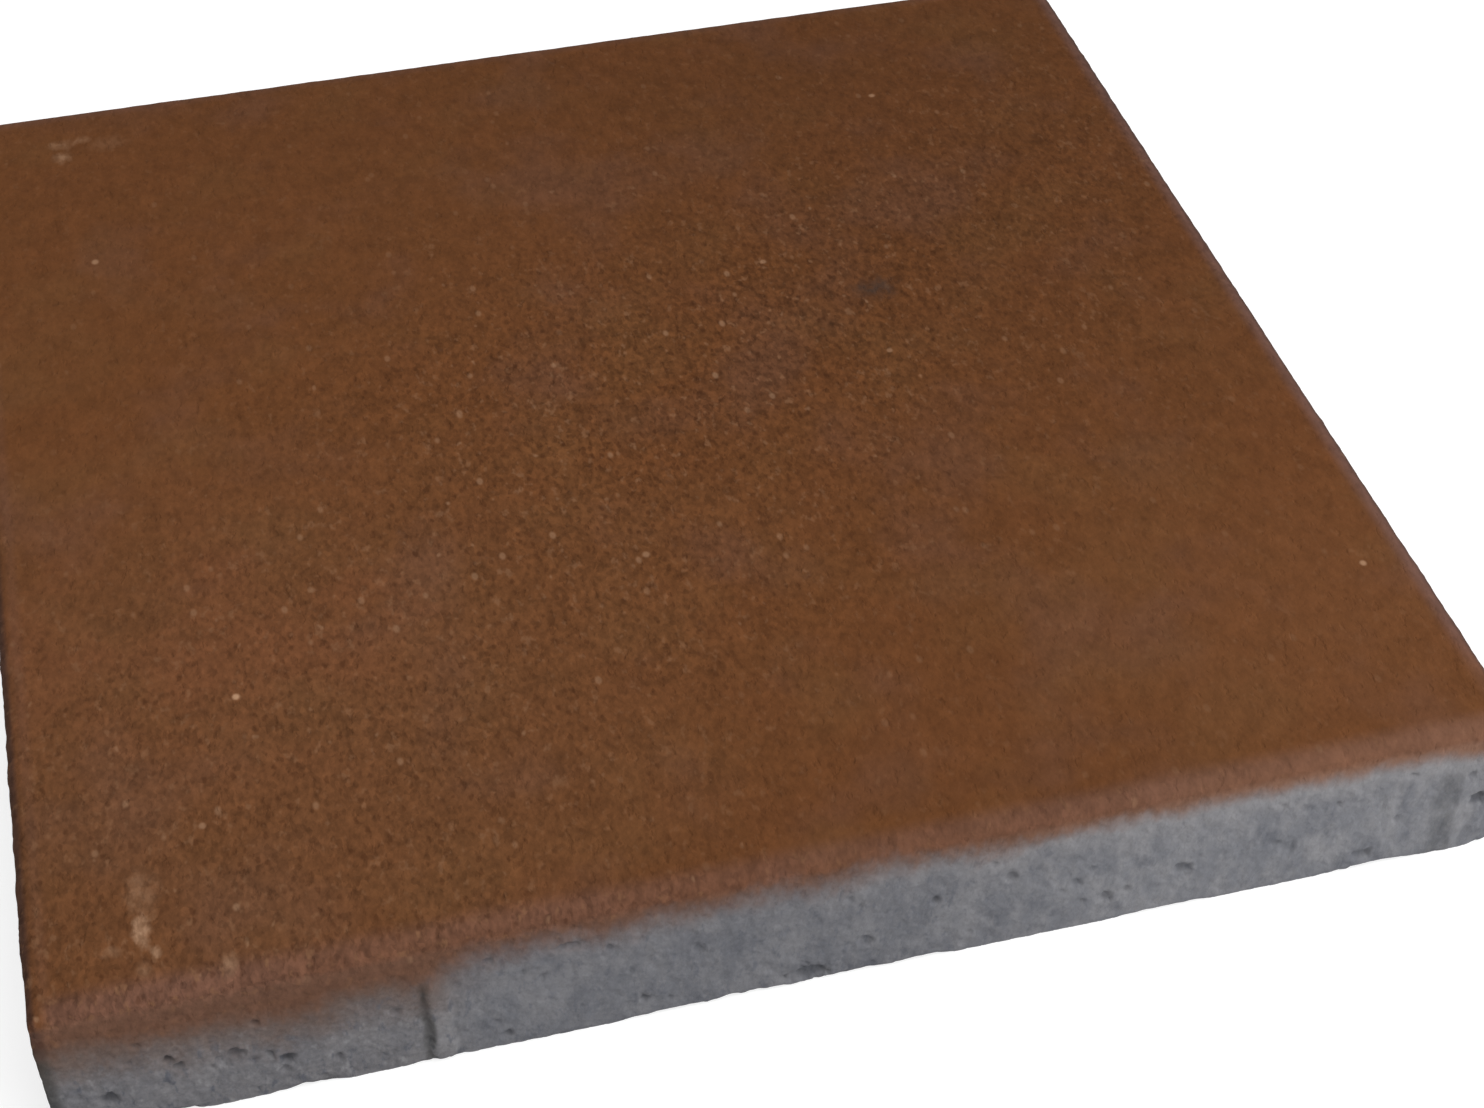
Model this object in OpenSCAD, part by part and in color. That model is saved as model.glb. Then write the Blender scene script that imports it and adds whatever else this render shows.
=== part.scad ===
// Square concrete paving slab of two concretes pressed together:
// a brown facing layer on a grey backing layer with spacer nibs on its sides.
// The origin is the centre of the underside, and the walking face looks up.

/* [Slab] */
// Length of the slab along X, between its sides
slab_length = 400; // [250:10:600]
// Width of the slab along Y, between its sides
slab_width = 400; // [250:10:600]
// Height from the underside to the walking face
slab_thickness = 50; // [40:1:100]
// Depth of the brown facing layer below the walking face
facing_depth = 12; // [6:0.5:20]

/* [Edges] */
// Width of the bevel round the walking face, seen from above
bevel_width = 4; // [1:0.5:8]
// Drop of the bevel down the sides
bevel_drop = 4; // [1:0.5:8]
// Radius of the four upright corners
corner_radius = 2; // [0.5:0.5:6]

/* [Spacer nibs] */
// Width of a nib where it leaves the side
nib_width = 8; // [5:0.5:12]
// How far a nib stands out from the side
nib_depth = 1.5; // [1:0.25:3]
// Height over which the top of a nib slopes back into the side
nib_slope_height = 4; // [2:0.5:8]
// Distance from the top of a nib up to the facing layer
nib_gap = 3; // [1:0.5:8]
// Distance from the left end of a side to the middle of its first nib
nib_left_inset = 100; // [50:5:140]
// Distance from the right end of a side to the middle of its second nib
nib_right_inset = 14; // [12:1:60]

/* [Hidden] */
$fn = 64;
backing_height = slab_thickness - facing_depth;
nib_height = backing_height - nib_gap;
nib_radius = (pow(nib_width / 2, 2) + pow(nib_depth, 2)) / (2 * nib_depth);
// The slope of a nib runs on past the side, to end inside the slab.
nib_slope_run = 1.5 * nib_depth;

// Upright section of the slab across a span, with the bevel at both top corners.
module bevelled_section(span) {
    half = span / 2;
    shoulder = slab_thickness - bevel_drop;
    polygon([
        [-half, 0],
        [half, 0],
        [half, shoulder],
        [half - bevel_width, slab_thickness],
        [bevel_width - half, slab_thickness],
        [-half, shoulder],
    ]);
}

// Upright block with the slab's plan and its four rounded corners.
module round_cornered_block() {
    straight_length = slab_length - 2 * corner_radius;
    straight_width = slab_width - 2 * corner_radius;
    translate([-straight_length / 2, -slab_width / 2, 0])
        cube([straight_length, slab_width, slab_thickness]);
    translate([-slab_length / 2, -straight_width / 2, 0])
        cube([slab_length, straight_width, slab_thickness]);
    for (x = [-1, 1], y = [-1, 1])
        translate([x * straight_length / 2, y * straight_width / 2, 0])
            cylinder(h = slab_thickness, r = corner_radius);
}

// The whole pressed slab without its nibs.
module slab_body() {
    intersection() {
        rotate([90, 0, 0])
            linear_extrude(height = slab_width, center = true)
                bevelled_section(slab_length);
        rotate([90, 0, 90])
            linear_extrude(height = slab_length, center = true)
                bevelled_section(slab_width);
        round_cornered_block();
    }
}

// Slice of the slab between two heights.
module slab_slice(bottom, top) {
    intersection() {
        slab_body();
        translate([-slab_length / 2, -slab_width / 2, bottom])
            cube([slab_length, slab_width, top - bottom]);
    }
}

// Round-faced nib standing at the middle of a side that looks towards -Y.
module nib() {
    straight_height = nib_height - nib_slope_height;
    translate([0, nib_radius - nib_depth, 0]) {
        cylinder(h = straight_height, r = nib_radius);
        translate([0, 0, straight_height])
            cylinder(h = nib_slope_height, r1 = nib_radius, r2 = nib_radius - nib_slope_run);
    }
}

// The two nibs of a side that looks towards -Y, at a distance from the slab's centre.
module side_nibs(side_length, distance) {
    for (x = [nib_left_inset - side_length / 2, side_length / 2 - nib_right_inset])
        translate([x, -distance, 0])
            nib();
}

// Brown concrete of the walking face and its bevel.
module facing_layer() {
    color([0.41, 0.27, 0.18])
        slab_slice(backing_height, slab_thickness);
}

// Grey concrete below it, with two nibs on each side.
module backing_layer() {
    color([0.46, 0.46, 0.48]) {
        slab_slice(0, backing_height);
        for (turn = [0, 180])
            rotate([0, 0, turn])
                side_nibs(slab_length, slab_width / 2);
        for (turn = [90, 270])
            rotate([0, 0, turn])
                side_nibs(slab_width, slab_length / 2);
    }
}

facing_layer();
backing_layer();
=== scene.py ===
"""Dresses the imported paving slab: brown facing on grey backing, both of pressed concrete."""

import logging
import math
import random
from collections.abc import Callable
from dataclasses import dataclass, field
from enum import Enum

import bpy
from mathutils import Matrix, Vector, kdtree, noise


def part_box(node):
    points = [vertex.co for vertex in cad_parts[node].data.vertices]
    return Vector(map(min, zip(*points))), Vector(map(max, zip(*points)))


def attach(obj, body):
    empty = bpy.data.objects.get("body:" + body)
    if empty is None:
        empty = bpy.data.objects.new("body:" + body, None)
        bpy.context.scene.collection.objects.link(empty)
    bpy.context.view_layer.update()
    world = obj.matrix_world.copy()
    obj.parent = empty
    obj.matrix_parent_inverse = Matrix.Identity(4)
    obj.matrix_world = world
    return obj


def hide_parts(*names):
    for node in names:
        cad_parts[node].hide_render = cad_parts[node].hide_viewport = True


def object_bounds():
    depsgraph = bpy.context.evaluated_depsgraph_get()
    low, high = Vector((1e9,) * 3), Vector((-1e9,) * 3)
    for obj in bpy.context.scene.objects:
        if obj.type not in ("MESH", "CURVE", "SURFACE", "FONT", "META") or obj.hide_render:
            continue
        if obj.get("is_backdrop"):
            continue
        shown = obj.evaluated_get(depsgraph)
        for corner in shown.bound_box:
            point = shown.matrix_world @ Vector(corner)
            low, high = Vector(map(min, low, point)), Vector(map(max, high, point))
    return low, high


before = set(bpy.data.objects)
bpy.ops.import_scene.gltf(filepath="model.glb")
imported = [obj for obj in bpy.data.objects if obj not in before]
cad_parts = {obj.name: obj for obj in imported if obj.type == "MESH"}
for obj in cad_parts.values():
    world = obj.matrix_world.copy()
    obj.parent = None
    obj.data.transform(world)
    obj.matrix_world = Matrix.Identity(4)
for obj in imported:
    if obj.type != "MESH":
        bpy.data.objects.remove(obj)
CAD_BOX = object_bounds()

LOG = logging.getLogger("paving_slab")
MM = 0.001
HAIR = 0.01 * MM
STRAIGHT = 0.99
WHITE = (1.0, 1.0, 1.0, 1.0)

Tint = tuple[int, int, int]


def linear(tint: Tint) -> tuple[float, float, float, float]:
    """Turn a screen colour into the linear one that a shader takes.

    Args:
        tint: Red, green and blue from 0 to 255, as seen on a screen.

    Returns:
        The linear colour with full alpha.
    """
    steps = (value / 255 for value in tint)
    red, green, blue = (s / 12.92 if s <= 0.04045 else ((s + 0.055) / 1.055) ** 2.4 for s in steps)
    return red, green, blue, 1.0


def smooth_step(value: float) -> float:
    """Ease a value between 0 and 1, held at both ends."""
    held = min(1.0, max(0.0, value))
    return held * held * (3.0 - 2.0 * held)


def anywhere(_: Vector) -> bool:
    """Take any point."""
    return True


class Axis(Enum):
    """A direction of the frame, by its place in a vector."""

    X = 0
    Y = 1
    Z = 2


class Side(Enum):
    """A side of the slab, by the way it looks in plan."""

    FRONT = (0, -1)
    RIGHT = (1, 0)
    BACK = (0, 1)
    LEFT = (-1, 0)

    @property
    def outward(self) -> Vector:
        """The way out of the side."""
        return Vector((*self.value, 0.0))

    @property
    def rightward(self) -> Vector:
        """The way along the side, towards its right end as seen from outside."""
        x, y = self.value
        return Vector((-y, x, 0.0))

    @property
    def axis(self) -> Axis:
        """The axis that the side looks along."""
        return Axis.X if self.value[0] else Axis.Y

    @property
    def sign(self) -> int:
        """Plus or minus one, for the way that the side looks along its axis."""
        return sum(self.value)


class Workpiece:
    """One mesh being modelled: selections by place, edit operators and applied modifiers."""

    def __init__(self, piece: bpy.types.Object) -> None:
        """Take up a piece that is already the active object."""
        self.piece = piece

    @classmethod
    def block(cls, name: str, centre: Vector, size: Vector) -> "Workpiece":
        """Start from a plain block.

        Args:
            name: Name of the new piece.
            centre: Middle of the block.
            size: Full length of the block along each axis.

        Returns:
            The workpiece, with its place and size applied to its mesh.
        """
        bpy.ops.object.select_all(action="DESELECT")
        bpy.ops.mesh.primitive_cube_add(size=1.0, location=centre, scale=size)
        bpy.ops.object.transform_apply(location=True, rotation=True, scale=True)
        bpy.context.object.name = name
        bpy.context.object.data.name = name
        return cls(bpy.context.object)

    def select_edges(self, wanted: Callable[[Vector, Vector], bool]) -> None:
        """Go into edit mode with only the wanted edges selected.

        Args:
            wanted: Test on the two ends of an edge.
        """
        bpy.ops.object.mode_set(mode="EDIT")
        bpy.ops.mesh.select_mode(type="EDGE")
        bpy.ops.mesh.select_all(action="DESELECT")
        bpy.ops.object.mode_set(mode="OBJECT")
        vertices = self.piece.data.vertices
        for edge in self.piece.data.edges:
            first, second = edge.vertices
            edge.select = wanted(vertices[first].co, vertices[second].co)
        bpy.ops.object.mode_set(mode="EDIT")

    def divide(self, axis: Axis, cuts: int, within: Callable[[Vector], bool] = anywhere) -> None:
        """Cut the edges that run along an axis.

        Args:
            axis: Direction of the edges.
            cuts: Cuts in each edge.
            within: Test on the middle of an edge, for edges of one region only.
        """
        def along(first: Vector, second: Vector) -> bool:
            """Tell whether an edge inside the region runs straight along the axis, not down the bevel."""
            run = second - first
            return abs(run[axis.value]) > STRAIGHT * run.length and within((first + second) / 2)

        self.select_edges(along)
        bpy.ops.mesh.subdivide(number_cuts=cuts)
        bpy.ops.object.mode_set(mode="OBJECT")

    def paint(self, name: str, weight: Callable[[Vector], float]) -> None:
        """Paint a vertex group by place.

        Args:
            name: Name of the group.
            weight: Weight from 0 to 1 at a point of the mesh.
        """
        group = self.piece.vertex_groups.new(name=name)
        for vertex in self.piece.data.vertices:
            value = weight(vertex.co)
            if value > 0.0:
                group.add([vertex.index], min(value, 1.0), "REPLACE")

    def store(self, name: str, weights: dict[int, float]) -> None:
        """Keep weights as a point attribute that a material can read.

        Args:
            name: Name of the attribute.
            weights: Value for each vertex that has one, by its index.
        """
        attribute = self.piece.data.attributes.new(name=name, type="FLOAT", domain="POINT")
        for index, value in weights.items():
            attribute.data[index].value = value

    def displace(self, group: str, depth: float, direction: str = "NORMAL",
                 texture: bpy.types.Texture | None = None, level: float = 0.0) -> None:
        """Push the vertices of a group and apply the result.

        Args:
            group: Vertex group that scales the push.
            depth: Push at full weight, outwards or along the axis if positive.
            direction: Displace modifier's direction.
            texture: Texture that varies the push.
            level: Texture value at which nothing moves.
        """
        modifier = self.piece.modifiers.new(group, "DISPLACE")
        modifier.vertex_group = group
        modifier.direction = direction
        modifier.strength = depth
        modifier.mid_level = level
        modifier.texture = texture
        modifier.texture_coords = "LOCAL"
        bpy.ops.object.modifier_apply(modifier=modifier.name)

    def soften(self, group: str, rounds: int) -> None:
        """Wear the vertices of a group towards their neighbours.

        Args:
            group: Vertex group that scales the wear.
            rounds: Number of passes.
        """
        modifier = self.piece.modifiers.new(group, "SMOOTH")
        modifier.vertex_group = group
        modifier.factor = 0.5
        modifier.iterations = rounds
        bpy.ops.object.modifier_apply(modifier=modifier.name)


@dataclass(frozen=True)
class Relief:
    """Cloudy relief of one group of faces, pushed out where its texture is above a level."""

    name: str
    group: str
    depth: float
    lumps: float
    octaves: int
    level: float

    def texture(self) -> bpy.types.Texture:
        """Make the cloudy texture of the relief."""
        texture = bpy.data.textures.new(self.name, "CLOUDS")
        texture.noise_scale = self.lumps
        texture.noise_depth = self.octaves
        return texture


@dataclass(frozen=True)
class Hollow:
    """A pit or a broken-out grain in a side of the slab."""

    side: Side
    along: float
    height: float
    radius: float
    depth: float
    stretch: float = 1.0


@dataclass(frozen=True)
class Nib:
    """A spacer nib, placed from the left end of a side, or from its right end where that is negative."""

    along: float
    half_width: float
    steepness: float
    rise: float
    # Strength and width of the painted shade beside the nib.
    grime: float
    painted_shade_width: float


@dataclass
class SlabForm:
    """The whole pressed slab, modelled as one piece before it is parted into its two concretes."""

    half: float
    thickness: float
    nib_reach: float
    bevel: float = 4 * MM
    bevel_steps: int = 4
    grid: float = 4.2 * MM
    side_rows: float = 1.4 * MM
    nib_height: float = 35 * MM
    nib_slope: float = 8 * MM
    nib_toe: float = 5 * MM
    nib_share: float = 0.85
    # Distance of the painted shade's line from the middle of a nib.
    painted_shade_line: float = 3.3 * MM
    nibs: tuple[Nib, ...] = (
        Nib(100 * MM, 4 * MM, steepness=2.0, rise=1.0, grime=1.0, painted_shade_width=1.4 * MM),
        Nib(-14 * MM, 5.2 * MM, steepness=0.9, rise=0.65, grime=0.55, painted_shade_width=3.6 * MM),
    )
    worn_edge: float = 2.5 * MM
    corner_radius: float = 3 * MM
    corner_rounds: int = 7
    edge_rounds: int = 2
    hollow_depth: float = 3 * MM
    rim_depth: float = 1.8 * MM
    strays_per_side: int = 40
    seed: int = 7
    reliefs: tuple[Relief, ...] = (
        Relief("face_swell", "walking_face", 0.3 * MM, 45 * MM, 1, 0.95),
        Relief("face_sand", "walking_face", 0.3 * MM, 5 * MM, 2, 0.95),
        Relief("side_swell", "rough_sides", 1.0 * MM, 22 * MM, 2, 0.55),
        Relief("side_grit", "rough_sides", 1.0 * MM, 4 * MM, 2, 0.55),
        Relief("bed_grit", "underside", 1.0 * MM, 6 * MM, 2, 1.0),
    )
    work: Workpiece = field(init=False)

    def build(self) -> bpy.types.Object:
        """Model the slab.

        Returns:
            The finished piece.
        """
        size = Vector((2 * self.half, 2 * self.half, self.thickness))
        self.work = Workpiece.block("pressed_slab", Vector((0, 0, self.thickness / 2)), size)
        self.bevel_top()
        self.divide_faces()
        self.raise_nibs()
        self.wear_edges()
        self.roughen()
        self.pit_sides()
        return self.work.piece

    def inset(self, point: Vector) -> float:
        """Distance of a point in from the nearest side, seen from above."""
        return self.half - max(abs(point.x), abs(point.y))

    def on_side(self, point: Vector) -> bool:
        """Tell whether a point lies on one of the four sides, below the bevel."""
        return self.inset(point) < HAIR and point.z < self.thickness - self.bevel + HAIR

    def on_front(self, point: Vector) -> bool:
        """Tell whether a point lies on the front side."""
        return self.on_side(point) and point.y < HAIR - self.half

    def above_bed(self, point: Vector) -> bool:
        """Tell whether a point lies anywhere but inside the underside."""
        return self.on_side(point) or point.z > HAIR

    def bevel_top(self) -> None:
        """Bevel the four edges of the walking face."""
        self.work.select_edges(lambda a, b: min(a.z, b.z) > 0.9 * self.thickness)
        bpy.ops.mesh.bevel(offset=self.bevel, segments=self.bevel_steps, profile=0.5, affect="EDGES")
        bpy.ops.object.mode_set(mode="OBJECT")

    def divide_faces(self) -> None:
        """Cut all faces into a grid: coarse below, fine on top, finer on the sides and finest in front."""
        cuts = round(2 * self.half / self.grid) - 1
        for within in (anywhere, self.above_bed, self.on_side):
            self.work.divide(Axis.X, cuts, within)
            self.work.divide(Axis.Y, cuts, within)
            cuts = 1
        self.work.divide(Axis.Z, round((self.thickness - self.bevel) / self.side_rows) - 1)
        self.work.divide(Axis.X, 1, self.on_front)
        self.work.divide(Axis.Z, 1, self.on_front)

    def nearest_nib(self, side: Side, point: Vector) -> tuple[Nib, float]:
        """Find the nib of a side that is nearest to a point, and how far to its right the point lies."""
        along = point.dot(side.rightward) + self.half
        offsets = ((nib, along - nib.along % (2 * self.half)) for nib in self.nibs)
        return min(offsets, key=lambda pair: abs(pair[1]))

    def nib_weight(self, side: Side, point: Vector) -> float:
        """Share of the full nib reach by which a point of a side is raised, 0 off the nibs."""
        if point.dot(side.outward) < self.half - HAIR:
            return 0.0
        nib, off = self.nearest_nib(side, point)
        across = 1.0 - abs(off) / nib.half_width + 0.35 * noise.noise(point / (7 * MM))
        upward = (self.nib_height - point.z) / self.nib_slope
        toe = 0.4 + 0.6 * smooth_step(point.z / self.nib_toe)
        return nib.rise * smooth_step(nib.steepness * across) * smooth_step(upward) * toe

    def painted_shade_weight(self, side: Side, point: Vector) -> float:
        """Painted shade at a point beside a nib, a thin line at the left nib and a wider, paler one at the
        right.
        """
        if point.dot(side.outward) < self.half - HAIR or point.z > self.nib_height:
            return 0.0
        nib, off = self.nearest_nib(side, point)
        off += 1.2 * MM * noise.noise(point / (6 * MM))
        # Painted shade beside the nib, strongest on its left flank, away from the light.
        shade_tone = nib.grime * smooth_step(1.6 - abs(abs(off) - self.painted_shade_line) / nib.painted_shade_width)
        left_flank = 0.2 + 0.8 * smooth_step(0.5 - off / (4 * MM))
        upward = smooth_step((self.nib_height - point.z) / (4 * MM))
        return shade_tone * left_flank * upward

    def raise_nibs(self) -> None:
        """Raise the spacer nibs out of each side, and note where they are, for their painted highlight, and
        where the painted shade beside them goes.
        """
        vertices = self.work.piece.data.vertices
        for name, weight in (("nib", self.nib_weight), ("grime", self.painted_shade_weight)):
            marks = {vertex.index: max(weight(side, vertex.co) for side in Side) for vertex in vertices}
            self.work.store(name, marks)
        for side in Side:
            group = f"{side.name.lower()}_nibs"
            self.work.paint(group, lambda point, side=side: self.nib_weight(side, point))
            self.work.displace(group, side.sign * self.nib_share * self.nib_reach, side.axis.name)

    def edge_weight(self, point: Vector) -> float:
        """Wear at a point: most along the bevel, less along the bottom edge."""
        inset = max(0.0, self.inset(point))
        to_bevel = max(inset, self.thickness - point.z) - self.bevel
        to_bottom = max(inset, point.z)
        on_bevel = 0.5 * smooth_step(1.0 - to_bevel / self.worn_edge)
        return max(on_bevel, 0.2 * smooth_step(1.0 - to_bottom / self.worn_edge))

    def corner_weight(self, point: Vector) -> float:
        """Rounding at a point, by its distance from the nearest upright corner."""
        second_inset = self.half - min(abs(point.x), abs(point.y))
        return smooth_step(1.5 - second_inset / self.corner_radius)

    def wear_edges(self) -> None:
        """Round the upright corners, then take the sharpness off all the other edges."""
        self.work.paint("upright_corners", self.corner_weight)
        self.work.soften("upright_corners", self.corner_rounds)
        self.work.paint("worn_edges", self.edge_weight)
        self.work.soften("worn_edges", self.edge_rounds)

    def side_weight(self, point: Vector) -> float:
        """Roughness of the sides at a point, less of it on the nibs and none on the bottom edge."""
        above_bevel = max(0.0, point.z - self.thickness + self.bevel) / self.bevel
        standing_out = max(0.0, -self.inset(point)) / self.nib_reach
        clear_of_edges = smooth_step(1 - above_bevel) * smooth_step(point.z / (3 * MM))
        return clear_of_edges * (1 - 0.7 * min(1.0, standing_out))

    def bed_weight(self, point: Vector) -> float:
        """Roughness of the underside at a point, none of it along its edges."""
        return smooth_step(1 - point.z / (0.5 * MM)) * smooth_step((self.inset(point) - 1 * MM) / (4 * MM))

    def roughen(self) -> None:
        """Give every face the relief of pressed concrete."""
        top_line = self.thickness - self.bevel
        self.work.paint("walking_face", lambda point: smooth_step((point.z - top_line) / self.bevel))
        self.work.paint("rough_sides", self.side_weight)
        self.work.paint("underside", self.bed_weight)
        for relief in self.reliefs:
            self.work.displace(relief.group, relief.depth, texture=relief.texture(), level=relief.level)

    def front_hollows(self) -> list[Hollow]:
        """Hollows that show on the front: place along it, height, radius and depth in mm, then stretch."""
        sizes = (
            (15, 12, 2.6, 1.8, 1.3), (31, 23, 2.0, 1.6, 0.8), (33, 19.5, 1.9, 1.4, 1.0),
            (44, 18.5, 2.0, 1.0, 1.2), (48, 20, 2.2, 1.5, 1.6), (56, 17, 2.0, 1.0, 0.9),
            (60, 13.5, 2.4, 2.0, 1.0), (59, 10, 2.2, 0.9, 0.8), (73, 10, 2.4, 1.1, 0.8),
            (89, 24, 2.2, 1.0, 0.8), (114, 36.5, 1.6, 0.8, 1.4), (117, 5, 1.7, 1.2, 1.2),
            (135, 36, 1.8, 1.0, 2.8), (154, 8, 2.0, 1.1, 0.8), (169, 24, 2.2, 0.9, 0.8),
            (199, 4, 3.2, 1.8, 2.2), (215, 13, 2.6, 0.8, 1.0), (234, 24, 2.4, 1.2, 0.7),
            (255, 27, 2.8, 1.0, 0.9), (274, 19, 2.4, 0.9, 0.9), (283, 11, 2.6, 1.1, 0.8),
            (289, 12, 2.2, 0.9, 0.9), (305, 16, 3.0, 1.3, 1.1), (336, 16, 3.0, 0.7, 1.1),
            (359, 6, 2.2, 1.1, 1.8), (368, 18, 2.4, 0.7, 0.7), (392, 20, 2.8, 1.7, 1.1),
        )
        return [
            Hollow(Side.FRONT, along * MM, height * MM, radius * MM, depth * MM, stretch)
            for along, height, radius, depth, stretch in sizes
        ]

    def stray_hollows(self) -> list[Hollow]:
        """Hollows strewn over all four sides, smaller on the front."""
        draw = random.Random(self.seed)
        strewn = []
        for side in Side:
            largest = 1.6 * MM if side is Side.FRONT else 3.0 * MM
            for _ in range(self.strays_per_side):
                radius = draw.uniform(1.0 * MM, largest)
                along = draw.uniform(6 * MM, 2 * self.half - 6 * MM)
                height = draw.uniform(2 * MM, 36 * MM)
                depth = radius * draw.uniform(0.3, 0.6)
                strewn.append(Hollow(side, along, height, radius, depth, draw.uniform(0.8, 1.5)))
        return strewn

    def rim_weight(self, point: Vector) -> float:
        """Wear of the ragged bottom edge at a point."""
        reach = 3 * MM * (0.3 + 0.7 * abs(noise.noise(point.xy.to_3d() / (16 * MM))))
        if point.y < 0:
            reach += 2 * MM * smooth_step((-point.x - 0.5 * self.half) / (20 * MM))
            reach += 5 * MM * smooth_step((point.x - self.half + 12 * MM) / (12 * MM))
        distance = math.hypot(max(0.0, self.inset(point)), max(0.0, point.z))
        stretches = noise.noise(point.xy.to_3d() / (19 * MM) + Vector((5, 2, 8)))
        broken = 0.2 + 0.8 * smooth_step(0.2 + 2.5 * stretches)
        crumbs = 0.75 + 0.5 * noise.noise(point / (3 * MM))
        return smooth_step(1.0 - distance / reach) * crumbs * broken

    def pit_sides(self) -> None:
        """Sink the hollows into the sides and break the bottom edge."""
        mesh = self.work.piece.data
        tree = kdtree.KDTree(len(mesh.vertices))
        for vertex in mesh.vertices:
            tree.insert(vertex.co, vertex.index)
        tree.balance()
        sunk: dict[int, float] = {}
        for hollow in self.front_hollows() + self.stray_hollows():
            middle = hollow.side.outward * self.half + hollow.side.rightward * (hollow.along - self.half)
            middle.z = hollow.height
            for place, index, _ in tree.find_range(middle, 1.6 * hollow.radius * max(1.0, hollow.stretch)):
                run = (place - middle).dot(hollow.side.rightward) / (hollow.radius * hollow.stretch)
                rise = (place.z - middle.z) / hollow.radius
                ragged = 1.0 + 0.5 * noise.noise(place / (1.5 * MM)) + 0.3 * noise.noise(place / (4.5 * MM))
                share = smooth_step(1.5 * (1.0 - math.hypot(run, rise) * ragged))
                sunk[index] = max(sunk.get(index, 0.0), share * hollow.depth / self.hollow_depth)
        self.work.store("hollow", sunk)
        group = self.work.piece.vertex_groups.new(name="hollows")
        for index, share in sunk.items():
            group.add([index], share, "REPLACE")
        self.work.paint("ragged_rim", self.rim_weight)
        self.work.displace("hollows", -self.hollow_depth)
        self.work.displace("ragged_rim", -self.rim_depth)


class Wire:
    """A socket of a shader, with arithmetic that adds Math nodes."""

    def __init__(self, desk: "ShaderDesk", socket: bpy.types.NodeSocket) -> None:
        """Keep the socket and the desk that adds nodes beside it."""
        self.desk = desk
        self.socket = socket

    def sibling(self, output: str) -> "Wire":
        """Another output of the same node."""
        return Wire(self.desk, self.socket.node.outputs[output])

    def __add__(self, other: "Feed") -> "Wire":
        """Sum."""
        return self.desk.math("ADD", self, other)

    __radd__ = __add__

    def __sub__(self, other: "Feed") -> "Wire":
        """Difference."""
        return self.desk.math("SUBTRACT", self, other)

    def __rsub__(self, other: "Feed") -> "Wire":
        """Difference from a number."""
        return self.desk.math("SUBTRACT", other, self)

    def __mul__(self, other: "Feed") -> "Wire":
        """Product."""
        return self.desk.math("MULTIPLY", self, other)

    __rmul__ = __mul__

    def __abs__(self) -> "Wire":
        """Size without sign."""
        return self.desk.math("ABSOLUTE", self)


Feed = Wire | float | tuple


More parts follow.
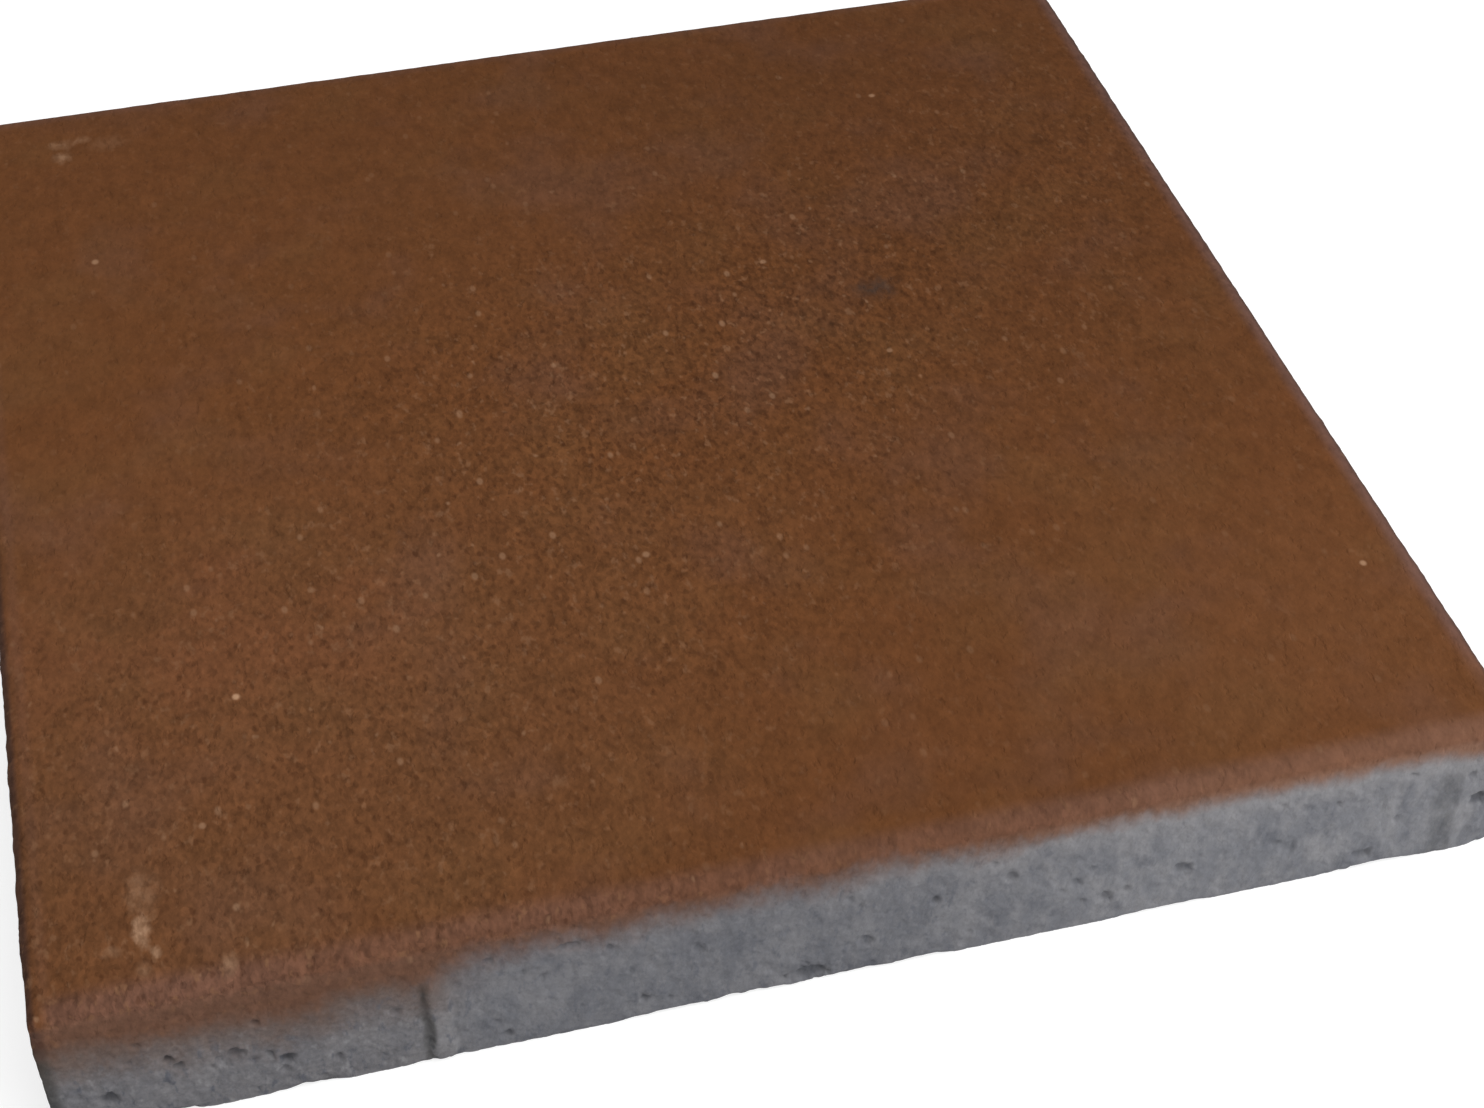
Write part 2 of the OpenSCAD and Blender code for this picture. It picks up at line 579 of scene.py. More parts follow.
class ShaderDesk:
    """Adds and links the nodes of one material, or of the world."""

    def __init__(self, owner: bpy.types.Material | bpy.types.World) -> None:
        """Start with an empty node tree."""
        self.owner = owner
        self.owner.use_nodes = True
        self.tree = owner.node_tree
        self.tree.nodes.clear()

    def add(self, kind: str, settings: dict[str, object], inputs: dict[str | int, Feed],
            output: str | int = 0) -> Wire | None:
        """Add one node.

        Args:
            kind: Type of the node, without the common start of such names.
            settings: Properties to set first.
            inputs: Values or links of its sockets.
            output: Socket to return.

        Returns:
            The wanted output, if the node has any.
        """
        node = self.tree.nodes.new(f"ShaderNode{kind}")
        for name, value in settings.items():
            setattr(node, name, value)
        for key, feed in inputs.items():
            if isinstance(feed, Wire):
                self.tree.links.new(feed.socket, node.inputs[key])
            else:
                node.inputs[key].default_value = feed
        return Wire(self, node.outputs[output]) if node.outputs else None

    def math(self, operation: str, *feeds: Feed) -> Wire:
        """Add a Math node on values."""
        return self.add("Math", {"operation": operation}, dict(enumerate(feeds)))

    def vector(self, operation: str, *feeds: Feed) -> Wire:
        """Add a Vector Math node."""
        return self.add("VectorMath", {"operation": operation}, dict(enumerate(feeds)))

    def fade(self, value: Feed, start: Feed, end: Feed) -> Wire:
        """Ease from 0 at the start to 1 at the end.

        Args:
            value: What is compared.
            start: Value at and before which the result is 0.
            end: Value at and after which it is 1.

        Returns:
            The eased value.
        """
        inputs = {"Value": value, "From Min": start, "From Max": end}
        return self.add("MapRange", {"interpolation_type": "SMOOTHSTEP"}, inputs)

    def mix(self, share: Feed, first: Feed, second: Feed) -> Wire:
        """Mix two colours, by the share of the second."""
        return self.add("Mix", {"data_type": "RGBA"}, {0: share, 6: first, 7: second}, 2)

    def scale(self, feed: Wire, factor: Feed) -> Wire:
        """Scale a vector, or brighten or darken a colour, by a factor."""
        return self.add("VectorMath", {"operation": "SCALE"}, {0: feed, "Scale": factor})

    def grain(self, place: Wire, size: float, detail: float = 2.0, roughness: float = 0.5) -> Wire:
        """Cloudy noise with lumps of a size.

        Args:
            place: Coordinates in metres.
            size: Size of the largest lumps.
            detail: Number of finer octaves.
            roughness: Share that each finer octave keeps.

        Returns:
            Noise about 0.5.
        """
        inputs = {"Vector": place, "Scale": 1 / size, "Detail": detail, "Roughness": roughness}
        return self.add("TexNoise", {}, inputs)

    def specks(self, place: Wire, spacing: float, radius: float, share: float) -> Wire:
        """Strewn round specks.

        Args:
            place: Coordinates in metres.
            spacing: Size of the cells that hold at most one speck each.
            radius: Radius of a speck.
            share: Share of the cells that hold one.

        Returns:
            1 in the middle of a speck, 0 off it.
        """
        cells = self.add("TexVoronoi", {}, {"Vector": place, "Scale": 1 / spacing})
        chance = self.add("SeparateColor", {}, {"Color": cells.sibling("Color")})
        spot = self.fade(cells, radius / spacing, 0.4 * radius / spacing)
        return spot * self.fade(chance, 1 - share, 1 - 0.7 * share)

    def matte(self, colour: Wire, height: Wire, roughness: float = 0.92, shine: float = 0.06) -> Wire:
        """Add a matte surface.

        Args:
            colour: Base colour.
            height: Height of the fine relief, in metres.
            roughness: Roughness of the surface.
            shine: Level of its specular light.

        Returns:
            The surface.
        """
        normal = self.add("Bump", {}, {"Height": height, "Distance": 1.0, "Strength": 1.0}, "Normal")
        finish = {"Roughness": roughness, "Specular IOR Level": shine}
        return self.add("BsdfPrincipled", {}, {"Base Color": colour, "Normal": normal, **finish})

    def blend(self, share: Feed, first: Wire, second: Wire) -> Wire:
        """Mix two surfaces."""
        return self.add("MixShader", {}, {0: share, 1: first, 2: second})

    def close(self, surface: Wire) -> bpy.types.Material:
        """Close the material with its surface.

        Args:
            surface: The surface.

        Returns:
            The material.
        """
        self.add("OutputMaterial", {}, {"Surface": surface})
        return self.owner


@dataclass(frozen=True)
class FacingMix:
    """Brown concrete of the walking face."""

    brown: Tint = (99, 61, 34)
    red: Tint = (121, 71, 45)
    violet: Tint = (99, 67, 51)
    olive: Tint = (103, 68, 40)
    # Paler, worn bevel, partly a painted highlight.
    edge: Tint = (103, 76, 68)
    # Lighter towards the right end, where the light falls: painted light.
    right_edge: Tint = (111, 79, 63)
    side: Tint = (103, 74, 59)
    # Lighter towards the right end, where the light falls: painted light.
    right_side: Tint = (125, 94, 78)
    # Painted shade along the bevel's lower edge at both ends, down the left upright corner and in the
    # hollows.
    rim: Tint = (68, 50, 45)
    light_grain: Tint = (134, 97, 70)
    # Darker in the small pits.
    pit_dark: Tint = (64, 35, 18)
    bright_speck: Tint = (172, 134, 104)
    chalk: Tint = (170, 134, 106)
    dust: Tint = (110, 80, 58)
    smudge: Tint = (60, 49, 43)


@dataclass(frozen=True)
class BackingMix:
    """Grey concrete below the facing."""

    grey: Tint = (117, 118, 123)
    pale: Tint = (141, 140, 142)
    dark: Tint = (86, 88, 96)
    # Painted shade at the left end of the front.
    shade_tone: Tint = (87, 87, 92)
    stain: Tint = (100, 82, 73)
    warm: Tint = (122, 112, 105)
    # Painted shade in the hollows of the backing.
    pit: Tint = (66, 68, 74)
    # Painted shade beside the nibs and down the upright corner at the left end of the front.
    grime: Tint = (62, 61, 58)


@dataclass(frozen=True)
class Mark:
    """A spot on the walking face, placed from the left end and the front of the slab."""

    across: float
    deep: float
    wide: float
    long: float
    strength: float = 1.0


@dataclass(frozen=True)
class Dip:
    """A place along the front where the facing reaches deeper than elsewhere."""

    along: float
    depth: float
    reach: float


@dataclass
class Places:
    """Coordinates of the slab that its colours are laid out by, as wires of one material."""

    point: Wire
    drawn: Wire
    from_left: Wire
    from_front: Wire
    height: Wire
    inset: Wire


@dataclass
class SlabConcrete:
    """The surface of the whole slab: both concretes and the ragged line where they meet."""

    half: float
    thickness: float
    bevel: float = 4 * MM
    facing: FacingMix = FacingMix()
    backing: BackingMix = BackingMix()
    facing_depth: float = 10.5 * MM
    extra_depth: float = 6.5 * MM
    dips: tuple[Dip, ...] = (
        Dip(5 * MM, -2.5 * MM, 26 * MM),
        Dip(60 * MM, 1.5 * MM, 25 * MM),
        Dip(98 * MM, 4.0 * MM, 16 * MM),
        Dip(120 * MM, 3.0 * MM, 16 * MM),
        Dip(143 * MM, 4.0 * MM, 20 * MM),
        Dip(170 * MM, 2.5 * MM, 28 * MM),
        Dip(204 * MM, 2.5 * MM, 13 * MM),
        Dip(252 * MM, 2.0 * MM, 20 * MM),
        Dip(400 * MM, 4.0 * MM, 22 * MM),
    )
    chalk_marks: tuple[Mark, ...] = (
        Mark(30.3 * MM, 21 * MM, 2.8 * MM, 5.5 * MM, 1.0),
        Mark(31.5 * MM, 33 * MM, 4.5 * MM, 9 * MM, 0.3),
        Mark(33.4 * MM, 13.2 * MM, 1.6 * MM, 2.2 * MM, 1.0),
        Mark(30 * MM, 8 * MM, 2.5 * MM, 4 * MM, 0.35),
        Mark(22.5 * MM, 16 * MM, 3 * MM, 2.5 * MM, 0.35),
        Mark(33.6 * MM, 371 * MM, 3.5 * MM, 4 * MM, 0.42),
        Mark(34 * MM, 378.5 * MM, 5 * MM, 3.5 * MM, 0.26),
        Mark(41.5 * MM, 380 * MM, 3 * MM, 3 * MM, 0.26),
        Mark(49 * MM, 376.5 * MM, 8 * MM, 5 * MM, 0.1),
        Mark(50.6 * MM, 5.5 * MM, 2.4 * MM, 4 * MM, 0.5),
    )
    # Painted light and shade over the walking face: darker over the far part and the middle right, lighter
    # near the front right and at the left.
    painted_light_zones: tuple[Mark, ...] = (
        Mark(340 * MM, 340 * MM, 220 * MM, 210 * MM, -0.18),
        Mark(150 * MM, 400 * MM, 260 * MM, 130 * MM, -0.08),
        Mark(375 * MM, 45 * MM, 110 * MM, 100 * MM, 0.08),
        Mark(290 * MM, 210 * MM, 190 * MM, 120 * MM, -0.07),
        Mark(50 * MM, 200 * MM, 130 * MM, 110 * MM, 0.05),
    )
    dust: tuple[Mark, ...] = (
        Mark(50 * MM, 70 * MM, 190 * MM, 170 * MM, 0.2),
        Mark(350 * MM, 50 * MM, 110 * MM, 80 * MM, 0.08),
    )
    smudges: tuple[Mark, ...] = (Mark(285 * MM, 229 * MM, 8.5 * MM, 6 * MM, 0.8),)
    bright_specks: tuple[Mark, ...] = (
        Mark(62.5 * MM, 96.5 * MM, 1.4 * MM, 1.6 * MM, 1.0),
        Mark(383.5 * MM, 68.5 * MM, 1.4 * MM, 1.6 * MM, 0.7),
        Mark(316 * MM, 338 * MM, 1.6 * MM, 1.5 * MM, 0.5),
        Mark(40 * MM, 307 * MM, 1.6 * MM, 2.0 * MM, 0.5),
        Mark(253 * MM, 252 * MM, 1.5 * MM, 1.6 * MM, 0.4),
        Mark(184 * MM, 124 * MM, 1.6 * MM, 1.8 * MM, 0.4),
        Mark(48.8 * MM, 52 * MM, 1.3 * MM, 1.6 * MM, 0.45),
        Mark(54.3 * MM, 22.6 * MM, 1.3 * MM, 1.8 * MM, 0.35),
        Mark(21 * MM, 49.4 * MM, 1.3 * MM, 1.8 * MM, 0.25),
    )
    red_patch: Mark = Mark(55 * MM, 120 * MM, 85 * MM, 60 * MM)
    coarse_patch: Mark = Mark(205 * MM, 205 * MM, 150 * MM, 150 * MM, 0.2)

    def make(self, name: str) -> bpy.types.Material:
        """Build the material.

        Args:
            name: Name of the material.

        Returns:
            The material.
        """
        desk = ShaderDesk(bpy.data.materials.new(name))
        places = self.survey(desk)
        below = self.below_facing(desk, places)
        stained = desk.fade(places.from_left, 118 * MM, 90 * MM) * self.near_front(desk, places, 80 * MM)
        middle = desk.fade(places.from_left, 90 * MM, 118 * MM)
        middle = middle * desk.fade(places.from_left, 300 * MM, 215 * MM)
        last_brown = -5 * MM - middle * (4 * MM)
        first_grey = 3 * MM + stained * (2 * MM) + middle * (3 * MM)
        depth = desk.fade(below, last_brown, first_grey)
        grit = desk.grain(places.point, 4.0 * MM, 2.0) * (0.35 * MM)
        sand = desk.grain(places.point, 1.4 * MM, 3.0, 0.6)
        dimples = desk.grain(desk.vector("ADD", places.drawn, (2, 5, 3)), 2.6 * MM, 3.0)
        dimples = desk.fade(dimples, 0.57, 0.72)
        pits = self.pits(desk, places, dimples)
        pressed = grit + sand * (0.22 * MM) - dimples * (0.15 * MM)
        brown = desk.matte(self.brown(desk, places, pits), pressed)
        grey = self.with_painted_shade(desk, places, self.grey(desk, places, below, stained))
        grey = desk.matte(grey, grit + sand * (0.32 * MM))
        return desk.close(desk.blend(depth, brown, grey))

    def with_painted_shade(self, desk: ShaderDesk, places: Places, colour: Wire) -> Wire:
        """Paint shade into the hollows of the backing, beside its nibs and down the upright corner at the
        left end of the front.
        """
        hollow = desk.add("Attribute", {"attribute_name": "hollow"}, {}, "Fac")
        grime = desk.add("Attribute", {"attribute_name": "grime"}, {}, "Fac")
        patchy = desk.fade(desk.grain(places.point, 5 * MM, 3.0, 0.6), 0.2, 0.55) * 0.5
        # Painted shade in the hollows.
        colour = desk.mix(desk.fade(hollow, 0.05, 0.7) * 0.5, colour, linear(self.backing.pit))
        # Painted shade beside the nibs.
        colour = desk.mix(grime * patchy, colour, linear(self.backing.grime))
        # Painted shade down the upright corner at the left end of the front.
        return desk.mix(self.corner(desk, places) * 0.7, colour, linear(self.backing.grime))

    def corner(self, desk: ShaderDesk, places: Places) -> Wire:
        """Mask of the painted shade down the upright corner at the left end of the front."""
        return desk.fade(places.from_left, 5 * MM, 1.5 * MM) * desk.fade(places.from_front, 5 * MM, 2 * MM)

    def survey(self, desk: ShaderDesk) -> Places:
        """Lay out the coordinates that the colours go by."""
        place = desk.add("TexCoord", {}, {}, "Object")
        spread = desk.add("SeparateXYZ", {}, {"Vector": place})
        depth = spread.sibling("Y")
        out = desk.math("MAXIMUM", abs(spread), abs(depth))
        drawn = desk.vector("MULTIPLY", place, (1.0, 0.6, 0.6))
        return Places(
            point=place, drawn=drawn, from_left=spread + self.half, from_front=depth + self.half,
            height=spread.sibling("Z"), inset=self.half - out,
        )

    def near_front(self, desk: ShaderDesk, places: Places, reach: float) -> Wire:
        """Mask of the front side, fading out within a reach behind it."""
        return desk.fade(places.from_front, reach, 10 * MM)

    def spot(self, desk: ShaderDesk, places: Places, mark: Mark) -> Wire:
        """Distance from the middle of a mark, 1 at its outline."""
        scale = (1 / mark.wide, 1 / mark.long, 0.0)
        shift = ((self.half - mark.across) / mark.wide, (self.half - mark.deep) / mark.long, 0.0)
        run = desk.vector("MULTIPLY_ADD", places.point, scale, shift)
        return desk.add("VectorMath", {"operation": "LENGTH"}, {0: run}, "Value")

    def rubbed(self, desk: ShaderDesk, places: Places, marks: tuple[Mark, ...]) -> Wire:
        """Mask of rubbed marks on the walking face, broken up by its grain."""
        breaks = (desk.grain(places.drawn, 4 * MM, 3.0, 0.6) - 0.5) * 1.8
        grains = 0.55 + 0.45 * desk.fade(desk.grain(places.drawn, 1.6 * MM, 2.0), 0.35, 0.6)
        total: Feed = 0.0
        for mark in marks:
            share = desk.fade(self.spot(desk, places, mark) + breaks, 1.2, 0.0)
            total = desk.math("MULTIPLY_ADD", share, mark.strength, total)
        return total * grains

    def speckled(self, desk: ShaderDesk, places: Places, marks: tuple[Mark, ...]) -> Wire:
        """Mask of single bright grains."""
        total: Feed = 0.0
        for mark in marks:
            share = desk.fade(self.spot(desk, places, mark), 1.0, 0.3)
            total = desk.math("MULTIPLY_ADD", share, mark.strength, total)
        return total

    def brown(self, desk: ShaderDesk, places: Places, pits: Wire) -> Wire:
        """Colour of the facing all over, with its patches, sand grains and marks, and painted light and
        shade along its edges.
        """
        mix = self.facing
        place = places.point
        red = desk.fade(self.spot(desk, places, self.red_patch), 1.3, 0.2) * 0.8 + 0.2
        red = red * desk.fade(desk.grain(place, 30 * MM, 4.0, 0.6), 0.36, 0.62)
        violet = desk.fade(desk.grain(desk.vector("ADD", place, (3, 1, 2)), 42 * MM, 3.0), 0.48, 0.72)
        olive = desk.fade(desk.grain(desk.vector("ADD", place, (5, 4, 1)), 38 * MM, 3.0), 0.48, 0.72)
        colour = desk.mix(red * 0.35, linear(mix.brown), linear(mix.red))
        colour = desk.mix(violet * 0.45, colour, linear(mix.violet))
        colour = desk.mix(olive * 0.42, colour, linear(mix.olive))
        for mark in self.dust:
            dust = desk.fade(self.spot(desk, places, mark), 1.0, 0.2) * mark.strength
            colour = desk.mix(dust, colour, linear(mix.dust))
        # Paler, worn bevel, partly a painted highlight, and lighter still towards the right end: painted
        # light there.
        edge = desk.fade(places.inset, 2.1 * self.bevel, 0.4 * self.bevel)
        edge = edge * (1 - 0.9 * desk.fade(places.from_left, 7 * MM, 3 * MM))
        edge = edge * (1 - 0.6 * desk.fade(places.from_left, 392 * MM, 397 * MM))
        right = desk.fade(places.from_left, 200 * MM, 330 * MM) * self.near_front(desk, places, 40 * MM)
        left = desk.fade(places.from_left, 75 * MM, 45 * MM)
        edge_tint = desk.mix(right, linear(mix.edge), linear(mix.right_edge))
        colour = desk.mix(edge * (right * 0.4 + left * 0.1 + 0.38), colour, edge_tint)
        # Painted highlight on the bevel at the right end.
        right_bevel_highlight = desk.fade(places.from_left, 393 * MM, 397 * MM)
        right_bevel_highlight = right_bevel_highlight * desk.fade(places.from_front, 10 * MM, 40 * MM)
        colour = desk.mix(right_bevel_highlight * 0.75, colour, linear(mix.edge))
        # Brown of the upright side, lighter towards the right end: painted light there.
        side = desk.fade(places.height, self.thickness - 3.5 * MM, self.thickness - 7 * MM)
        side_tint = desk.mix(right * 0.9, linear(mix.side), linear(mix.right_side))
        colour = desk.mix(side * 0.85, colour, side_tint)
        # Painted light: a lighter band down the lower bevel and upper side, more of it at the left end.
        light_band = desk.fade(places.height, self.thickness - 1 * MM, self.thickness - 3 * MM)
        light_band = light_band * desk.fade(places.height, self.thickness - 8 * MM, self.thickness - 5 * MM)
        colour = desk.scale(colour, light_band * (left * 0.07 + 0.07) + 1.0)
        # Painted shade along the bevel's lower edge at both ends and down the upright corner at the left
        # end of the front.
        flank = desk.fade(abs(places.from_left - self.half), self.half - 3.4 * MM, self.half - 1.3 * MM)
        flank = flank * desk.fade(places.height, self.thickness - 8 * MM, self.thickness - 4 * MM)
        dark = desk.math("MAXIMUM", flank, self.corner(desk, places) * side)
        colour = desk.mix(dark * 0.7, colour, linear(mix.rim))
        colour = self.sand(desk, places, pits, colour)
        hollow = desk.add("Attribute", {"attribute_name": "hollow"}, {}, "Fac")
        # Painted shade in the hollows of the facing.
        colour = desk.mix(desk.fade(hollow, 0.03, 0.25) * 0.5, colour, linear(mix.rim))
        colour = desk.mix(self.speckled(desk, places, self.bright_specks), colour, linear(mix.bright_speck))
        colour = desk.mix(self.rubbed(desk, places, self.chalk_marks), colour, linear(mix.chalk))
        return desk.mix(self.rubbed(desk, places, self.smudges), colour, linear(mix.smudge))

    def coarseness(self, desk: ShaderDesk, places: Places) -> Wire:
        """How coarse the facing's grain is, most along the near half of one diagonal."""
        drift = (desk.grain(places.point, 60 * MM, 2.0) - 0.5) * 0.16
        diagonal = desk.fade(abs(places.from_left - places.from_front - 20 * MM) + drift, 0.25, 0.0)
        patch = desk.fade(self.spot(desk, places, self.coarse_patch), 1.0, 0.0) * self.coarse_patch.strength
        return 0.26 + (0.6 + patch) * diagonal * desk.fade(places.from_front, 390 * MM, 220 * MM)

    def pits(self, desk: ShaderDesk, places: Places, dimples: Wire) -> Wire:
        """Mask of the small pits between the facing's sand grains."""
        bends = {"Vector": places.drawn, "Scale": 1 / (1.5 * MM), "Detail": 1.0}
        bent = desk.vector("SUBTRACT", desk.add("TexNoise", {}, bends, "Color"), (0.5, 0.5, 0.5))
        place = desk.vector("ADD", places.drawn, desk.scale(bent, 1.6 * MM))
        fine = desk.specks(place, 2.6 * MM, 1.0 * MM, 0.6)
        return desk.math("MAXIMUM", fine, dimples * 0.6) * self.coarseness(desk, places)

    def sand(self, desk: ShaderDesk, places: Places, pits: Wire, colour: Wire) -> Wire:
        """Sand grains of the facing over its ground colour, with painted light and shade over the walking
        face and darker small pits.
        """
        mix = self.facing
        place = places.drawn
        edge = desk.fade(places.inset, 7 * MM, 3 * MM) * self.near_front(desk, places, 40 * MM)
        edge = edge * desk.fade(places.from_left, 400 * MM, 250 * MM)
        side = desk.fade(places.height, self.thickness - 4 * MM, self.thickness - 8 * MM)
        contrast = (self.coarseness(desk, places) + edge * 0.3) * (1 - 0.5 * side)
        grains = desk.add("TexVoronoi", {}, {"Vector": place, "Scale": 1 / (1.4 * MM)}, "Color")
        grains = desk.add("SeparateColor", {}, {"Color": grains}) - 0.5
        sand = desk.grain(place, 1.6 * MM, 2.0) - 0.5
        lumps = desk.grain(place, 6 * MM, 3.0, 0.6) - 0.5
        tone = (sand * 1.0 + grains * 0.3) * contrast + lumps * 0.62 + 1.0
        # Painted light and shade over the walking face.
        for zone in self.painted_light_zones:
            share = desk.fade(self.spot(desk, places, zone), 1.0, 0.0)
            tone = desk.math("MULTIPLY_ADD", share, zone.strength, tone)
        colour = desk.scale(colour, tone)
        # Darker in the small pits between the sand grains.
        colour = desk.mix(pits * (0.5 - 0.3 * side), colour, linear(mix.pit_dark))
        light = desk.fade(desk.grain(desk.vector("ADD", place, (4, 1, 6)), 2.4 * MM, 2.0), 0.58, 0.76)
        colour = desk.mix(light * contrast * 0.5, colour, linear(mix.light_grain))
        bright = desk.fade(desk.grain(desk.vector("ADD", place, (1, 2, 3)), 3.2 * MM, 1.0), 0.72, 0.86)
        colour = desk.mix(bright * contrast * 0.4, colour, linear(mix.bright_speck))
        strewn = desk.specks(desk.vector("ADD", place, (6, 2, 4)), 8 * MM, 1.3 * MM, 0.5)
        return desk.mix(strewn * contrast * 0.34, colour, linear(mix.bright_speck))

    def below_facing(self, desk: ShaderDesk, places: Places) -> Wire:
        """Depth of a point below the ragged underside of the facing, in metres."""
        front = desk.fade(places.from_front, 120 * MM, 20 * MM)
        extra = desk.fade(places.from_left, 112 * MM, 66 * MM) * self.extra_depth
        for dip in self.dips:
            extra = extra + desk.fade(abs(places.from_left - dip.along), dip.reach, 0.0) * dip.depth
        waves = (desk.grain(places.drawn, 12 * MM, 2.0) - 0.5) * (7 * MM)
        crumbs = (desk.grain(places.drawn, 2.6 * MM, 3.0, 0.6) - 0.5) * (6 * MM)
        crumbs = crumbs * (1 - 0.6 * desk.fade(places.from_left, 230 * MM, 330 * MM))
        depth = extra * front + waves + crumbs + self.facing_depth
        return self.thickness - places.height - depth

    def grey(self, desk: ShaderDesk, places: Places, below: Wire, stained: Wire) -> Wire:
        """Colour of the backing all over, with its streaks, stain and pale band, painted shade at the left
        end of the front and a painted highlight on the nibs.
        """
        mix = self.backing
        place = places.point
        upright = desk.vector("MULTIPLY", place, (1.0, 1.0, 0.5))
        clouds = desk.grain(upright, 7 * MM, 4.0, 0.65)
        blotches = desk.grain(place, 9 * MM, 4.0, 0.65)
        colour = desk.mix(desk.fade(clouds, 0.36, 0.7) * 0.7, linear(mix.grey), linear(mix.pale))
        colour = desk.mix(desk.fade(blotches, 0.48, 0.74) * 0.45, colour, linear(mix.dark))
        left = desk.fade(places.from_left, 300 * MM, 215 * MM) * self.near_front(desk, places, 80 * MM)
        # Darker towards the left end of the front: painted shade, away from the light at the right.
        colour = desk.mix(left * 0.36, colour, linear(mix.shade_tone))
        pale = desk.fade(below, 10 * MM, 1 * MM) * desk.fade(places.from_left, 110 * MM, 340 * MM)
        # Painted highlight on the nibs, fading out towards the right end, mixed with the pale band below
        # the facing.
        nib = desk.add("Attribute", {"attribute_name": "nib"}, {}, "Fac")
        nib = nib * desk.fade(places.from_left, 380 * MM, 300 * MM)
        colour = desk.mix(desk.math("MAXIMUM", pale * 0.7, nib * 0.25), colour, linear(mix.pale))
        colour = desk.mix(stained * 0.15, colour, linear(mix.warm))
        stain = desk.fade(below + (blotches - 0.5) * (14 * MM), 20 * MM, 0.0)
        colour = desk.mix(stain * (0.05 + 0.82 * stained), colour, linear(mix.stain))
        spots = desk.grain(desk.vector("ADD", upright, (7, 3, 2)), 3.2 * MM, 3.0, 0.6)
        spots = desk.fade(spots, 0.54, 0.7) * (0.2 + 0.3 * left + 0.35 * stained)
        colour = desk.mix(spots * (1 - 0.8 * stain * stained), colour, linear(mix.dark))
        flecks = desk.grain(desk.vector("ADD", upright, (1, 8, 5)), 3.0 * MM, 2.0, 0.6)
        flecks = desk.fade(flecks, 0.56, 0.74) * (0.14 + 0.08 * left + 0.38 * stained)
        colour = desk.mix(flecks * (1 - stain), colour, linear(mix.pale))
        sand = desk.grain(place, 1.8 * MM, 2.0, 0.6) - 0.5
        return desk.scale(colour, sand * (0.2 + 0.2 * left + 0.3 * stained) + 1.0)


@dataclass
class Layer:
    """One of the slab's two concretes, parted from the whole slab at the level where they meet."""

    node: str
    slot: str
    level: float
    upper: bool
    crease: float = math.radians(60)

    def part(self, whole: bpy.types.Object) -> bpy.types.Object:
        """Cut this layer from a copy of the whole slab.

        Args:
            whole: The whole slab.

        Returns:
            The layer, closed where it was cut.
        """
        bpy.ops.object.select_all(action="DESELECT")
        whole.select_set(True)
        bpy.context.view_layer.objects.active = whole
        bpy.ops.object.duplicate()
        piece = bpy.context.object
        piece.name = f"{self.node}_concrete"
        piece.data.name = piece.name
        bpy.ops.object.mode_set(mode="EDIT")
        bpy.ops.mesh.select_all(action="SELECT")
        bpy.ops.mesh.bisect(plane_co=(0, 0, self.level), plane_no=(0, 0, 1), use_fill=True,
                            clear_inner=self.upper, clear_outer=not self.upper)
        bpy.ops.mesh.select_all(action="SELECT")
        bpy.ops.mesh.normals_make_consistent(inside=False)
        bpy.ops.object.mode_set(mode="OBJECT")
        bpy.ops.object.shade_smooth_by_angle(angle=self.crease)
        return piece

    def dress(self, piece: bpy.types.Object, material: bpy.types.Material) -> None:
        """Give the layer its finish and its place in the frame."""
        piece.data.materials.clear()
        piece.data.materials.append(material)
        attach(piece, "root")
        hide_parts(self.node)


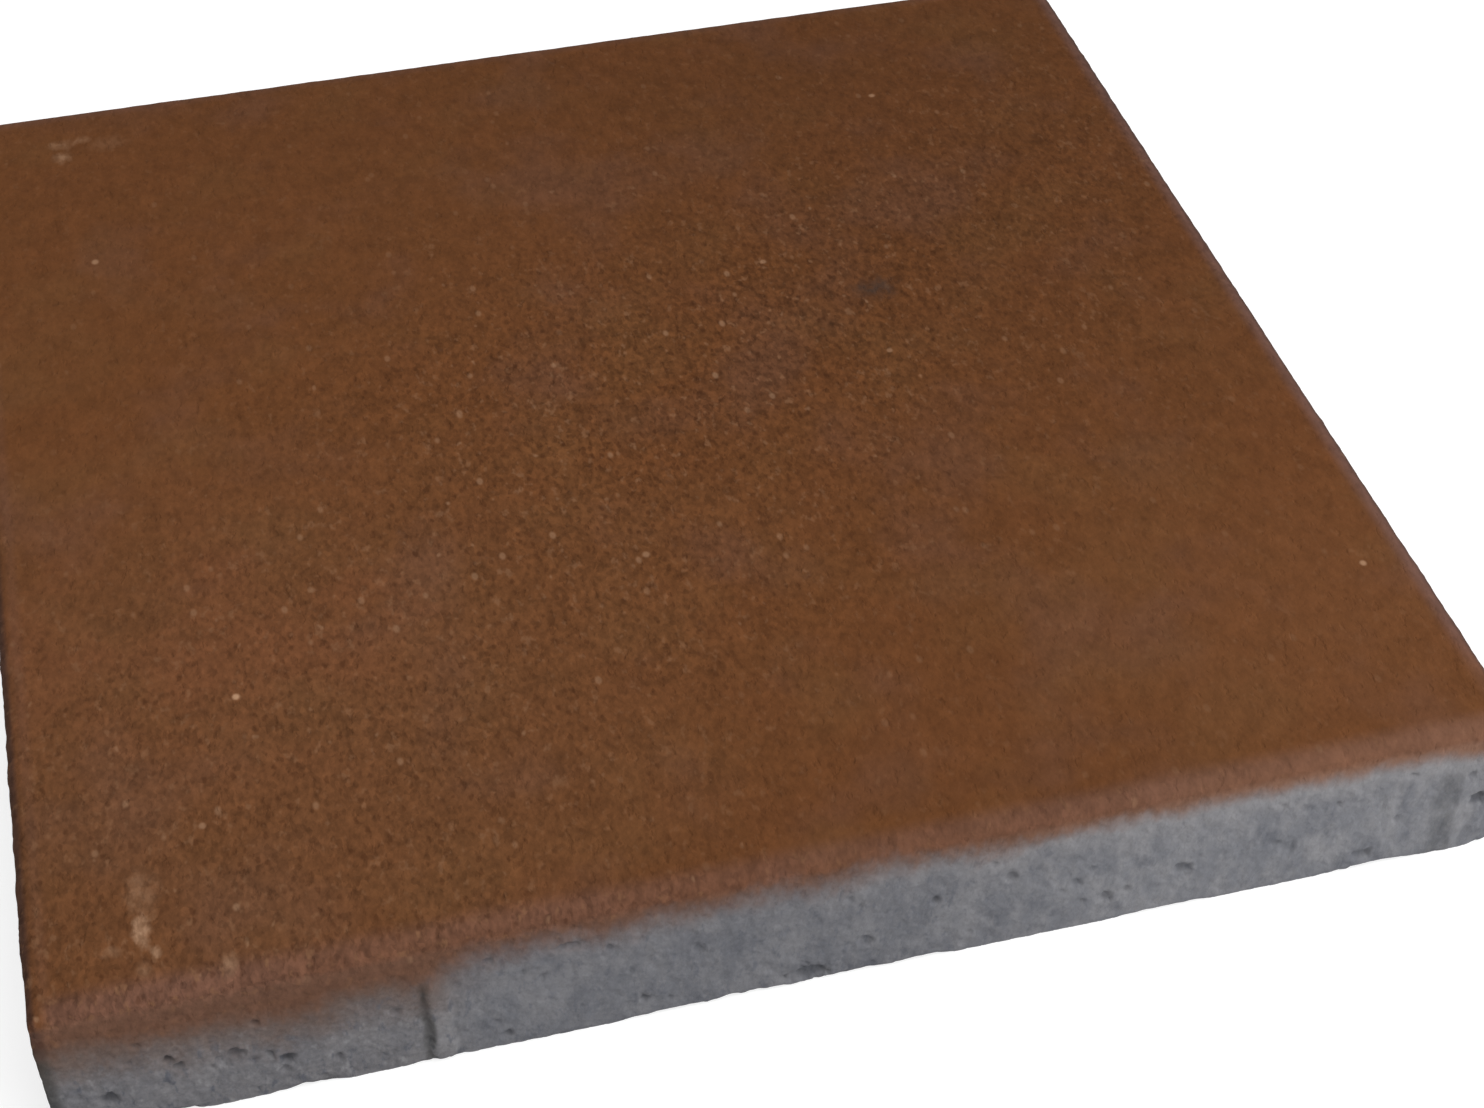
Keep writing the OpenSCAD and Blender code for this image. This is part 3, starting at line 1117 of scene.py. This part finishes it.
@dataclass
class Studio:
    """White floor, soft light and the camera."""

    floor_size: float = 12.0
    paper: float = 0.8
    shadow: float = 0.4
    glow: float = 0.72
    sky_left: float = 0.2
    sky_right: float = 0.84
    lamp: float = 1.5
    lamp_spread: float = math.radians(50)
    lamp_from: tuple[float, float, float] = (0.45, -0.4, 1.2)
    box_place: tuple[float, float, float] = (0.8, -0.75, 0.45)
    box_power: float = 3.4
    box_size: float = 0.5
    camera_place: tuple[float, float, float] = (-0.12697, -0.61525, 0.56320)
    camera_turn: float = 14.52
    camera_tilt: float = 43.033
    lens: float = 63.0
    sensor: float = 36.0

    def build(self) -> None:
        """Set up the whole studio."""
        self.lay_floor()
        self.light()
        self.set_camera()
        bpy.context.scene.view_settings.view_transform = "Standard"

    def lay_floor(self) -> None:
        """Lay a pale floor that the camera sees as white outside the shadow."""
        bpy.ops.object.select_all(action="DESELECT")
        bpy.ops.mesh.primitive_plane_add(size=self.floor_size)
        floor = bpy.context.object
        floor.name = "floor"
        desk = ShaderDesk(bpy.data.materials.new("floor_paper"))
        path = desk.add("LightPath", {}, {}, "Is Camera Ray")
        seen = path + path.sibling("Is Glossy Ray") + path.sibling("Is Transmission Ray")
        paper = desk.add("BsdfDiffuse", {}, {"Color": (*[self.paper] * 3, 1.0)})
        shadow = desk.add("BsdfDiffuse", {}, {"Color": (*[self.shadow] * 3, 1.0)})
        glow = desk.add("Emission", {}, {"Color": WHITE, "Strength": self.glow})
        lit = desk.add("AddShader", {}, {0: shadow, 1: glow})
        surface = desk.blend(seen, paper, lit)
        floor.data.materials.append(desk.close(surface))
        floor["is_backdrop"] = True

    def light(self) -> None:
        """Light the slab with a sky brighter at the right, one wide lamp from above and a soft box."""
        desk = ShaderDesk(bpy.data.worlds.new("sky"))
        way = desk.add("TexCoord", {}, {}, "Generated")
        rightward = desk.add("SeparateXYZ", {}, {"Vector": way})
        ends = {"From Min": -1.0, "From Max": 1.0, "To Min": self.sky_left, "To Max": self.sky_right}
        strength = desk.add("MapRange", {}, {"Value": rightward, **ends})
        sky = desk.add("Background", {}, {"Color": WHITE, "Strength": strength})
        desk.add("OutputWorld", {}, {"Surface": sky})
        bpy.context.scene.world = desk.owner
        lamp = self.hang("SUN", self.lamp_from)
        lamp.data.energy = self.lamp
        lamp.data.angle = self.lamp_spread
        box = self.hang("AREA", self.box_place)
        box.data.energy = self.box_power
        box.data.size = self.box_size

    def hang(self, kind: str, place: tuple[float, float, float]) -> bpy.types.Object:
        """Hang a light so that it shines at the slab.

        Args:
            kind: Type of the light.
            place: Where it hangs.

        Returns:
            The light.
        """
        turn = Vector(place).to_track_quat("Z", "Y").to_euler()
        bpy.ops.object.light_add(type=kind, location=place, rotation=turn)
        return bpy.context.object

    def set_camera(self) -> None:
        """Stand the camera where the slab fills the picture."""
        turn = (math.radians(90 - self.camera_tilt), 0.0, math.radians(-self.camera_turn))
        bpy.ops.object.camera_add(location=self.camera_place, rotation=turn)
        camera = bpy.context.object
        camera.data.lens = self.lens
        camera.data.sensor_width = self.sensor
        camera.data.sensor_fit = "HORIZONTAL"
        bpy.context.scene.camera = camera


def main() -> None:
    """Build the slab, part it into its layers, dress them and set up the studio."""
    logging.basicConfig(level=logging.INFO)
    facing_low, facing_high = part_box("facing_layer")
    backing_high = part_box("backing_layer")[1]
    half = facing_high.x
    whole = SlabForm(half, facing_high.z, backing_high.x - half).build()
    layers = [
        Layer("facing_layer", "brown_facing", facing_low.z, upper=True),
        Layer("backing_layer", "grey_backing", facing_low.z, upper=False),
    ]
    concrete = SlabConcrete(half, facing_high.z)
    for layer in layers:
        piece = layer.part(whole)
        layer.dress(piece, concrete.make(f"{layer.slot}_concrete"))
        LOG.info("%s: %d faces", piece.name, len(piece.data.polygons))
    bpy.data.objects.remove(whole)
    Studio().build()
    boxes = {"cad": CAD_BOX, "visual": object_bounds()}
    boxes = {name: [list(corner) for corner in box] for name, box in boxes.items()}


if __name__ == "__main__":
    main()
